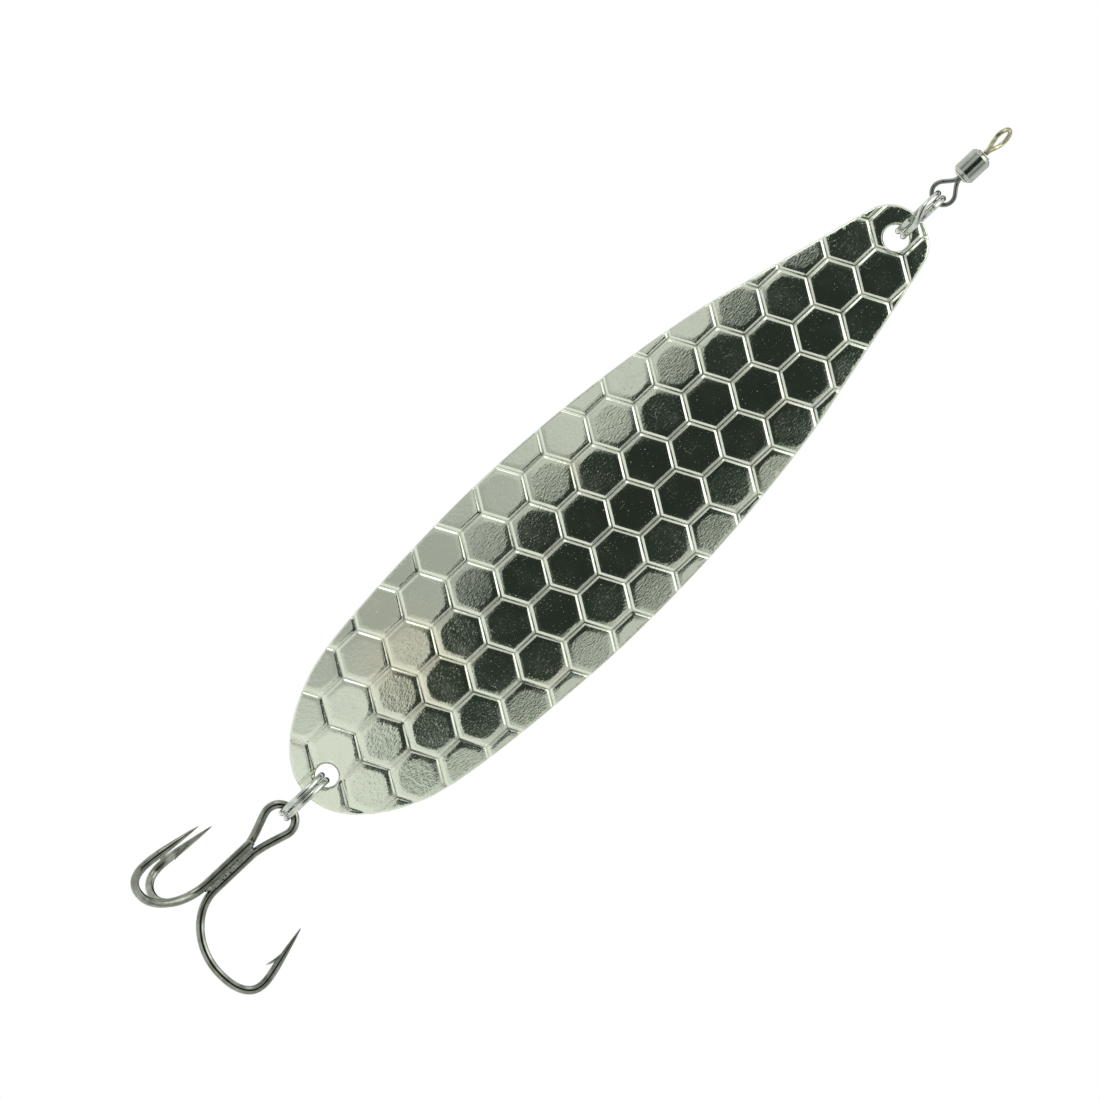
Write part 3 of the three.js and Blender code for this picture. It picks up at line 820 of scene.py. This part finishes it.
def clipped(points, faces, gap_of, snap=0.035):
    """Keeps the part of a flat mesh where the gap is positive. Points close to the edge
    move onto it first, so that no sliver is left."""
    gap, way = gap_of(points)
    near = np.abs(gap) < snap
    points = points.copy()
    points[near] -= gap[near, None] * way[near]
    gap = np.where(near, 0.0, gap)
    made = {}
    new_points = []

    def crossing(a, b):
        key = (min(a, b), max(a, b))
        if key not in made:
            low, high = key
            share = gap[low] / (gap[low] - gap[high])
            point = points[low] + (points[high] - points[low]) * share
            rest, way_here = gap_of(point[None])
            made[key] = len(points) + len(new_points)
            new_points.append(point - rest[0] * way_here[0])
        return made[key]

    kept = []
    for face in faces:
        if not any(gap[i] > 0 for i in face):
            continue
        shape = []
        for k, i in enumerate(face):
            j = face[(k + 1) % len(face)]
            if gap[i] >= 0:
                shape.append(i)
            if gap[i] * gap[j] < 0:
                shape.append(crossing(i, j))
        if len(shape) > 2:
            kept.append(tuple(shape))
    points = np.vstack([points, *new_points])
    used = sorted({i for face in kept for i in face})
    renamed = {old: new for new, old in enumerate(used)}
    return points[used], [tuple(renamed[i] for i in face) for face in kept]


def boundary_loops(faces):
    """Loops of edges that only one face uses, in the direction that the faces give them."""
    after = {}
    edges = {(face[k], face[(k + 1) % len(face)]) for face in faces for k in range(len(face))}
    for a, b in edges:
        if (b, a) not in edges:
            after[a] = b
    loops = []
    while after:
        start = next(iter(after))
        loop = [start]
        step = after.pop(start)
        while step != start:
            loop.append(step)
            step = after.pop(step)
        loops.append(loop)
    return loops


def flat_blade(shape):
    """Flat mesh of the cells, cut to the blade's outline and holes less the rim's width."""
    gap, _ = shape.outline_gap(shape.on_blade(shape.centres), 0)
    points, faces = cell_mesh(shape.centres[gap > -CELL_FLATS / math.sqrt(3)])
    points = shape.on_blade(points)
    points, faces = clipped(points, faces, lambda p: shape.outline_gap(p, RIM_RADIUS))
    for hole, radius in ((shape.front_hole, FRONT_HOLE_RADIUS), (shape.rear_hole, REAR_HOLE_RADIUS)):
        points, faces = clipped(points, faces, lambda p: shape.hole_gap(p, hole, radius + RIM_RADIUS))
    return points, faces


def rounded_rim(flat, slopes, front, back, loop, first):
    """Points and faces of the rim along one boundary loop. Its points count from first."""
    travel = np.roll(flat[loop], -1, axis=0) - np.roll(flat[loop], 1, axis=0)
    out = unit(np.column_stack([travel[:, 1], -travel[:, 0]]))
    for _ in range(RIM_SMOOTHING):
        out = unit(np.roll(out, 1, axis=0) + 2 * out + np.roll(out, -1, axis=0))
    tilt = (slopes[loop] * out).sum(1)
    out = unit(np.column_stack([out[:, 0], tilt, out[:, 1]]))
    centre = (front[loop] + back[loop]) / 2
    half = front[loop] - centre
    points = []
    rows = [loop]
    for step, turn in enumerate(np.linspace(0, math.pi, RIM_STEPS + 1)[1:-1]):
        points.append(centre + half * math.cos(turn) + out * RIM_RADIUS * math.sin(turn))
        rows.append(first + step * len(loop) + np.arange(len(loop)))
    rows.append(loop + len(flat))
    faces = []
    for upper, lower in zip(rows, rows[1:]):
        for k in range(len(loop)):
            n = (k + 1) % len(loop)
            faces.append((upper[n], upper[k], lower[k], lower[n]))
    return np.vstack(points), faces


def blade(material):
    """The pressed sheet: front and back with the same relief, and a rounded rim."""
    shape = Blade()
    flat, faces = flat_blade(shape)
    x, z = flat[:, 0], flat[:, 1]
    y, slope_x, slope_z = shape.middle(x, z)
    slopes = np.column_stack([slope_x, slope_z])
    middle = np.column_stack([x, y, z])
    outwards = unit(np.column_stack([slope_x, -np.ones_like(x), slope_z]))
    relief, frost = shape.relief(flat)
    relief = relief[:, None]
    front = middle + outwards * (BLADE_THICKNESS / 2 + relief)
    back = middle - outwards * (BLADE_THICKNESS / 2 - relief)

    count = len(flat)
    points = np.vstack([front, back])
    all_faces = list(faces) + [tuple(i + count for i in reversed(face)) for face in faces]
    for loop in boundary_loops(faces):
        rim, rim_faces = rounded_rim(flat, slopes, front, back, np.array(loop), len(points))
        points = np.vstack([points, rim])
        all_faces += rim_faces
    piece = new_piece("blade_sheet", points, all_faces, material)
    rim_frost = np.full(len(points) - 2 * count, FROST_SHARES[-1])
    marks = piece.data.attributes.new("frost", "FLOAT", "POINT")
    marks.data.foreach_set("value", np.concatenate([frost, frost, rim_frost]))
    belongs(piece, "blade", "nickel_plate", "blade")


# ---- treble hook ----

HOOK_WIRE = 1.3
HOOK_EYE_RADIUS = 2.4
HOOK_EYE_CLOSING = -15.0  # degrees from the eye's widest place to where its legs begin
EYE_LEG_PULL = 1.7  # the handles of the legs' curves, at the eye and at the shank
SHANK_PULL = 1.6
SHANK_SPREAD = 0.97
SHANK_TOP = -6.6
SHANK_END = -14.2
SINGLE_TOP = -5.2
HOOK_DEPTH = -22.35
HOOK_LOWEST = (10.4, HOOK_DEPTH)
HOOK_WIDEST = (16.3, -18.25)
POINT_BASE = (15.8, -15.65)
POINT_TIP = (14.05, -8.75)
POINT_LENGTH = math.dist(POINT_BASE, POINT_TIP)
POINT_TIP_RADIUS = 0.035
POINT_FULLNESS = 0.72  # 1 for a straight taper, less for a fuller one
BARB_INNER = ((14.43, -16.35), (14.60, -15.35), (14.74, -14.45), (14.78, -13.35))
BARB_OUTER = ((14.47, -16.35), (14.90, -15.65), (15.35, -14.95), (15.15, -13.35))
BARB_STEPS = 24
BARB_TIP_HALF_WIDTH = 0.05
BARB_WIDENING = 0.30
HOOK_ANGLES = {"right": -3.0, "back": 117.0, "front": 237.0}


def in_plane(angle, points):
    """Points of radius and height, in the half plane at an angle about the hook's axis."""
    points = np.atleast_2d(np.asarray(points, float))
    turn = math.radians(angle)
    return np.column_stack([points[:, 0] * math.cos(turn), points[:, 0] * math.sin(turn), points[:, 1]])


def hook_arm(angle, shank_top):
    """The wire's centre from the shank's top through the bend to the point's tip."""
    shank_end = (SHANK_SPREAD, SHANK_END)
    return in_plane(angle, joined(
        line((SHANK_SPREAD, shank_top), shank_end),
        bezier(shank_end, (SHANK_SPREAD, -18.6), (5.4, HOOK_DEPTH), HOOK_LOWEST, 120),
        bezier(HOOK_LOWEST, (14.2, HOOK_DEPTH), (16.5, -21.05), HOOK_WIDEST, 80),
        bezier(HOOK_WIDEST, (16.25, -17.35), (16.0, -16.45), POINT_BASE, 30),
        line(POINT_BASE, POINT_TIP, 40),
    ))


def point_radius(to_tip):
    """The wire's radius at a distance from the tip: full, then ground to a needle."""
    share = np.clip(to_tip / POINT_LENGTH, 0, 1)
    return POINT_TIP_RADIUS + (HOOK_WIRE / 2 - POINT_TIP_RADIUS) * share ** POINT_FULLNESS


def eye_leg(angle, side):
    """One leg of the eye, from the straight shank up to the round end. side is 1 or -1."""
    turn = math.radians(HOOK_EYE_CLOSING)
    end = HOOK_EYE_RADIUS * np.array([side * math.cos(turn), 0, math.sin(turn)])
    shank = in_plane(angle, (SHANK_SPREAD, SHANK_TOP))[0]
    pull = EYE_LEG_PULL * np.array([side * math.sin(turn), 0, -math.cos(turn)])
    return bezier(shank, shank + (0, 0, SHANK_PULL), end + pull, end)


def barb(angle):
    """A sliver of the wire raised from the inner side of the point, as a closed wedge."""
    turn = math.radians(angle)
    across = np.array([-math.sin(turn), math.cos(turn), 0])
    inner = in_plane(angle, bezier(*BARB_INNER, BARB_STEPS))
    outer = in_plane(angle, bezier(*BARB_OUTER, BARB_STEPS))
    points = []
    for share, inside, outside in zip(np.linspace(0, 1, BARB_STEPS), inner, outer):
        half_width = BARB_TIP_HALF_WIDTH + BARB_WIDENING * share ** 0.6
        for place, side in ((inside, -0.5), (inside, 0.5), (outside, 1.0), (outside, -1.0)):
            points.append(place + across * half_width * side)
    return close_rings(np.array(points), BARB_STEPS, 4)


def hook_double(material):
    """One wire: a point, its shank, the eye, the other shank and the other point."""
    right, back = HOOK_ANGLES["right"], HOOK_ANGLES["back"]
    path = joined(
        hook_arm(back, SHANK_TOP)[::-1],
        eye_leg(back, -1),
        arc((0, 0, 0), HOOK_EYE_RADIUS, 180 - HOOK_EYE_CLOSING, HOOK_EYE_CLOSING),
        eye_leg(right, 1)[::-1],
        hook_arm(right, SHANK_TOP),
    )
    total = path_length(path)[-1]
    wire = tube(path, lambda s: point_radius(np.minimum(s, total - s)), sides=32)
    piece = new_piece("hook_double_wire", *wire, material)
    return unite(piece, *[new_piece("barb_cut", *barb(angle), material) for angle in (right, back)])


def hook_single(material):
    """The third point, on a wire that ends below the eye."""
    angle = HOOK_ANGLES["front"]
    path = hook_arm(angle, SINGLE_TOP)
    total = path_length(path)[-1]
    wire = tube(path, lambda s: point_radius(total - s), sides=32)
    piece = new_piece("hook_single_wire", *wire, material)
    return unite(piece, new_piece("barb_cut", *barb(angle), material))


BRAZE_TOP = SINGLE_TOP - 0.35
BRAZE_END = SHANK_END - 1.3
BRAZE_CORE = 0.3  # its radius at both ends, inside the shanks
BRAZE_SHOULDER = 1.36  # the radius from which it falls off towards the shanks
BRAZE_FALL = 0.5  # for each radian from a valley's middle
BRAZE_WAVES = 7
BEAD_RADIUS = 0.13
BEAD_SINK = 0.04


def braze_fillet():
    """Braze run between the shanks: lumpy, thinning at both ends, and fullest in front."""
    rng = np.random.default_rng(11)
    waves = rng.uniform(0, 2 * math.pi, (BRAZE_WAVES, 2))
    heights = np.linspace(BRAZE_TOP, BRAZE_END, 170)
    angles = np.linspace(0, 2 * math.pi, 120, endpoint=False)
    in_valley = (angles - math.radians(HOOK_ANGLES["right"]) + 2 * math.pi) % (2 * math.pi / 3)
    off_valley = in_valley - math.pi / 3
    span = SHANK_SPREAD * math.cos(math.pi / 3) + HOOK_WIRE / 2
    falling = BRAZE_SHOULDER - BRAZE_FALL * np.abs(off_valley)
    flush = np.minimum(span / np.cos(off_valley), falling)
    in_front = np.cos((angles - math.radians(HOOK_ANGLES["front"] + 60)) / 2) ** 6
    points = []
    for height in heights:
        share = (height - BRAZE_TOP) / (BRAZE_END - BRAZE_TOP)
        ends = smoothstep(0, 0.05, share) * smoothstep(1, 0.88, share)
        lumps = sum(
            math.sin(height * (1.3 + 1.1 * k) + a) * np.sin(angles * (k + 2) + b)
            for k, (a, b) in enumerate(waves)
        ) / len(waves)
        fullness = 0.80 + 0.2 * in_front + 0.10 * lumps
        radius = BRAZE_CORE + (flush * fullness - BRAZE_CORE + 0.03 * in_front) * ends
        points.append(np.column_stack([
            radius * np.cos(angles), radius * np.sin(angles), np.full_like(angles, height),
        ]))
    return close_rings(np.vstack(points), len(heights), len(angles))


def braze_bead():
    """A bead of braze round the outer side of the third wire's top."""
    angle = HOOK_ANGLES["front"]
    x, y, height = in_plane(angle, (SHANK_SPREAD, SINGLE_TOP - 0.05))[0]
    turn = np.radians(np.linspace(angle - 80, angle + 110, 60))
    reach = HOOK_WIRE / 2 - BEAD_SINK
    flat = np.full_like(turn, height)
    return tube(np.column_stack([x + reach * np.cos(turn), y + reach * np.sin(turn), flat]), BEAD_RADIUS)


def hook_braze(material):
    return new_piece("braze_fillet", *merged(braze_fillet(), braze_bead()), material)


def treble(bronze, braze):
    place = Matrix.Translation(Vector(joint_place("hook_swing") * MM))
    for piece, slot, node in (
        (hook_double(bronze), "bronzed_hook", "hook_double"),
        (hook_single(bronze), "bronzed_hook", "hook_single"),
        (hook_braze(braze), "braze", "hook_braze"),
    ):
        belongs(put(piece, place), "treble", slot, node)


# ---- studio ----

PICTURE_WIDTH = 0.1656  # metres across the picture at the lure
CAMERA_DISTANCE = 1.15
PICTURE_CENTRE = (-0.0016, 0, -0.09333)
PICTURE_RIGHT = (0.6865, 0, 0.7271)
FLOOR_DROP = 100.0  # below the lowest hook
FLOOR_RADIUS = 250.0
FLOOR_SIDES = 128


def camera():
    """Square on to the blade, turned so that the lure lies across the picture."""
    data = bpy.data.cameras.new("camera")
    data.lens = data.sensor_width * CAMERA_DISTANCE / PICTURE_WIDTH
    cam = new_object("camera", data)
    right = Vector(PICTURE_RIGHT).normalized()
    back = Vector((0, -1, 0))
    up = back.cross(right)
    cam.matrix_world = Matrix.Translation(Vector(PICTURE_CENTRE) + back * CAMERA_DISTANCE) @ Matrix(
        (right, up, back)
    ).transposed().to_4x4()
    bpy.context.scene.camera = cam


def floor():
    """A pale disc under the lure, clear when seen from below."""
    lowest = cad_bounds[0][2] / MM
    angle = np.linspace(0, 2 * math.pi, FLOOR_SIDES, endpoint=False)
    height = np.full_like(angle, lowest - FLOOR_DROP)
    rim = np.column_stack([FLOOR_RADIUS * np.cos(angle), FLOOR_RADIUS * np.sin(angle), height])
    material = bpy.data.materials.new("pale_floor")
    material.use_nodes = True
    nodes = Nodes(material.node_tree)
    paint = nodes.add("ShaderNodeBsdfDiffuse", {"Color": (0.9, 0.9, 0.9, 1)})
    clear = nodes.add("ShaderNodeBsdfTransparent")
    under = nodes.add("ShaderNodeNewGeometry").outputs["Backfacing"]
    both = nodes.add("ShaderNodeMixShader", {0: under, 1: paint.outputs[0], 2: clear.outputs[0]})
    nodes.add("ShaderNodeOutputMaterial", {"Surface": both.outputs[0]})
    piece = new_piece("floor", rim, [range(FLOOR_SIDES)], material)


# The dark gap between the softboxes, in the parts of a unit direction from the lure
GAP_MIDDLE = 0.085
GAP_DRIFT = 0.10  # how far the middle shifts to the left for each unit up
GAP_HALF_WIDTH = 0.391
GAP_LEVEL = 0.052  # where the gap is widest
GAP_TOP = 0.56  # from its level up
GAP_FOOT = 0.3617  # from its level down, at x = 0
GAP_FOOT_SLOPE = 0.25
GAP_FOOT_LEAST = 0.1
GAP_SQUARENESS = 3.0  # 2 for an ellipse, more for squarer corners
GAP_SOFTNESS = (0.86, 1.12)  # where its edge begins and ends, for a gap_measure of 1
GAP_DEPTH = 0.3  # it fades out where y is nearer to 0 than this
GAP_GLOW = (0.036, 0.062)
GAP_TINT = (0.80, 1.06, 0.90)

# Brighter and darker patches of the softboxes: direction, width in radians, change of level
PATCHES = (
    ((-0.46, -0.85, -0.25), 0.30, -0.30),
    ((0.36, -0.30, 0.88), 0.65, 1.7),
    ((0.87, -0.5, 0.0), 0.35, -0.42),
    ((-0.87, -0.5, 0.0), 0.35, -0.42),
)


def blob(nodes, way, place, width):
    """1 towards a direction, fading to 0 at about width radians from it."""
    towards = nodes.add("ShaderNodeVectorMath", {0: way, 1: Vector(place).normalized()},
                        operation="DOT_PRODUCT").outputs["Value"]
    return nodes.ramp(towards, math.cos(width), math.cos(width * 0.35))


def gap_measure(nodes, x, z):
    """0 in the middle of the gap and 1 at its edge."""
    drift = nodes.maths("MULTIPLY", nodes.maths("MAXIMUM", z, 0.0), GAP_DRIFT)
    middle = nodes.maths("SUBTRACT", GAP_MIDDLE, drift)
    off_middle = nodes.maths("SUBTRACT", x, middle)
    across = nodes.maths("ABSOLUTE", nodes.maths("DIVIDE", off_middle, GAP_HALF_WIDTH))
    above = nodes.maths("SUBTRACT", z, GAP_LEVEL)
    foot = nodes.maths("SUBTRACT", nodes.maths("MULTIPLY", x, -GAP_FOOT_SLOPE), GAP_FOOT)
    foot = nodes.maths("MINIMUM", foot, -GAP_FOOT_LEAST)
    upright = nodes.maths("MAXIMUM", nodes.maths("DIVIDE", above, GAP_TOP),
                          nodes.maths("DIVIDE", above, foot))
    return nodes.maths("ADD", nodes.maths("POWER", across, GAP_SQUARENESS),
                       nodes.maths("POWER", upright, GAP_SQUARENESS))


def softbox_level(nodes, way, x, y, z):
    """Brightness of the softboxes in a direction."""
    level = nodes.ramp(x, -0.2, 0.5, 0.80, 0.74)
    for part, start, end, change in (
        (z, -0.26, -0.42, 0.22),  # brighter below the lure
        (z, -0.60, -0.82, -0.60),  # dark near straight down
        (y, -0.7, 0.2, 0.22),  # brighter at the sides and behind
    ):
        level = nodes.maths("ADD", level, nodes.ramp(part, start, end, 0.0, change))
    for place, width, change in PATCHES:
        change_here = nodes.maths("MULTIPLY", blob(nodes, way, place, width), change)
        level = nodes.maths("ADD", level, change_here)
    return level


def studio():
    """White all round, with the dark gap in the softboxes that the blade's middle mirrors."""
    world = bpy.data.worlds.new("studio")
    bpy.context.scene.world = world
    world.use_nodes = True
    nodes = Nodes(world.node_tree)
    way = nodes.add("ShaderNodeTexCoord").outputs["Generated"]
    x, y, z = nodes.add("ShaderNodeSeparateXYZ", {0: way}).outputs
    gap = gap_measure(nodes, x, z)
    beside = nodes.ramp(nodes.maths("ABSOLUTE", y), GAP_DEPTH, 0.0)
    outside = nodes.maths("MAXIMUM", nodes.ramp(gap, *GAP_SOFTNESS), beside)
    glow = nodes.maths("MULTIPLY", outside, softbox_level(nodes, way, x, y, z))
    glow = nodes.maths("ADD", glow, nodes.ramp(gap, 0.0, 0.8, *GAP_GLOW))
    camera_ray = nodes.add("ShaderNodeLightPath").outputs["Is Camera Ray"]
    mirrored = nodes.maths("MULTIPLY", nodes.maths("SUBTRACT", 1.0, camera_ray), glow)
    tint = nodes.mix(nodes.maths("MAXIMUM", outside, camera_ray), GAP_TINT, (1, 1, 1))
    shine = nodes.add("ShaderNodeBackground", {"Color": tint,
                                               "Strength": nodes.maths("ADD", camera_ray, mirrored)})
    nodes.add("ShaderNodeOutputWorld", {"Surface": shine.outputs[0]})


def softbox(name, place, size, power):
    """A round soft light that looks at the lure."""
    data = bpy.data.lights.new(name, "AREA")
    data.shape = "DISK"
    data.size = size
    data.energy = power
    lamp = new_object(name, data)
    lamp.location = place
    aim = Vector(PICTURE_CENTRE) - Vector(place)
    lamp.rotation_euler = aim.to_track_quat("-Z", "Y").to_euler()


# ---- the scene ----

camera()
floor()
studio()
softbox("soft_left", (-0.9, -0.5, 0.5), 0.5, 1.2)
bpy.context.scene.view_settings.view_transform = "Standard"

ring_steel = wire_metal("ring_steel", (0.56, 0.59, 0.53), (0.42, 0.45, 0.40), 0.15)
swivel(
    wire_metal("barrel_steel", (0.42, 0.455, 0.395), (0.35, 0.385, 0.33), 0.17, ripple=8e-7),
    wire_metal("brass", (0.70, 0.69, 0.58), (0.55, 0.54, 0.42), 0.3),
    wire_metal("aged_brass", (0.60, 0.59, 0.42), (0.24, 0.23, 0.14), 0.22),
    wire_metal("dark_steel", (0.23, 0.25, 0.22), (0.18, 0.195, 0.175), 0.24),
)
split_ring("front_ring_wire", "front_split_ring", "front_ring", ring_steel, 0)
blade(plate_metal())
split_ring("rear_ring_wire", "rear_split_ring", "rear_ring", ring_steel, 180)
treble(
    wire_metal("bronzed_hook", (0.29, 0.31, 0.26), (0.17, 0.18, 0.145), 0.11, grain=0.0009),
    braze_metal(),
)
